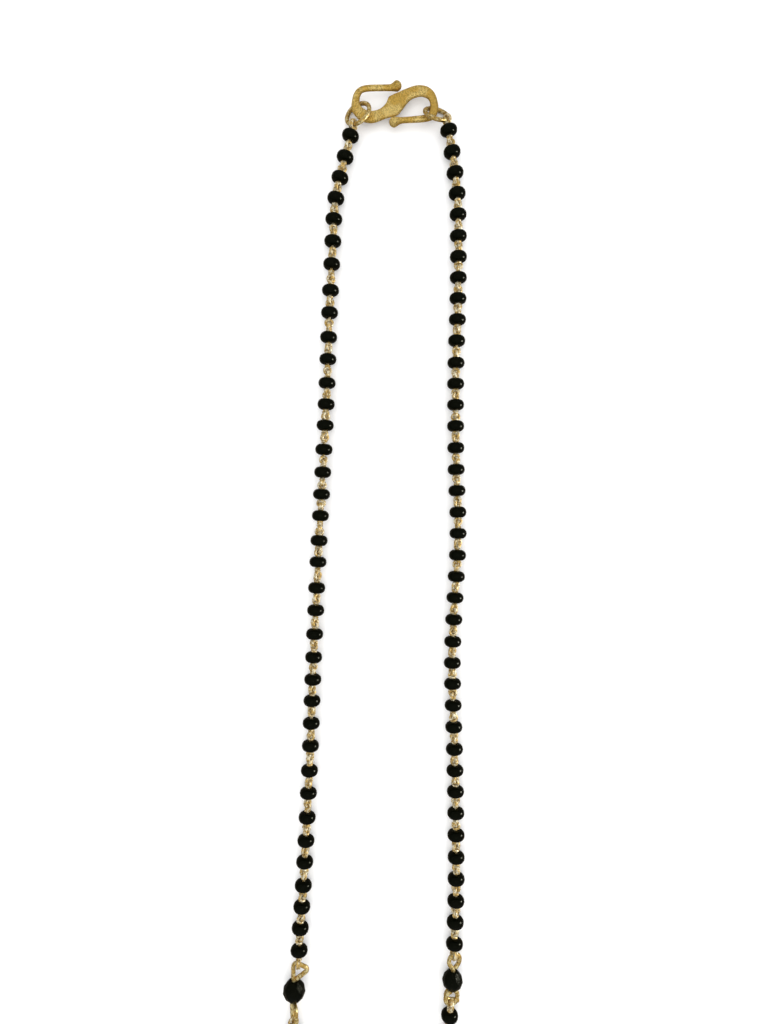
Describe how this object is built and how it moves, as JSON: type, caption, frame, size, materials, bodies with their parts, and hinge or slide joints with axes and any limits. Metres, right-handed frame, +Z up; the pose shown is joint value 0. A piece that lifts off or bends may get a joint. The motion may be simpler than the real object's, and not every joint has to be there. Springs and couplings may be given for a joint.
{
  "type": "mangalsutra bead necklace",
  "caption": "Black-bead mangalsutra on linked wire, with a larger faceted bead low on each side, two jump rings and a flat S-shaped hook, lying as a closed loop.",
  "frame": {"origin": "middle of the loop's footprint, on the surface that the necklace lies on", "axes": "+X across the loop, +Y along it towards the hook, +Z up from the surface"},
  "size_m": [0.0334, 0.2283, 0.0041],
  "materials": {
    "gilt_hook": "satin gilt plate",
    "gilt_ring": "worn gilt wire",
    "gilt_wire": "pale bright gilt wire",
    "black_glass": "glossy opaque black glass",
    "faceted_black": "satin opaque black glass"
  },
  "bodies": {
    "root": {"hook_clasp": "gilt_hook", "left_ring": "gilt_ring", "right_ring": "gilt_ring", "left_beads": "black_glass", "left_links": "gilt_wire", "right_beads": "black_glass", "right_links": "gilt_wire", "lower_beads": "black_glass", "lower_links": "gilt_wire", "left_large_bead": "faceted_black", "left_large_link": "gilt_ring", "right_large_bead": "faceted_black", "right_large_link": "gilt_ring"}
  },
  "joints": []
}
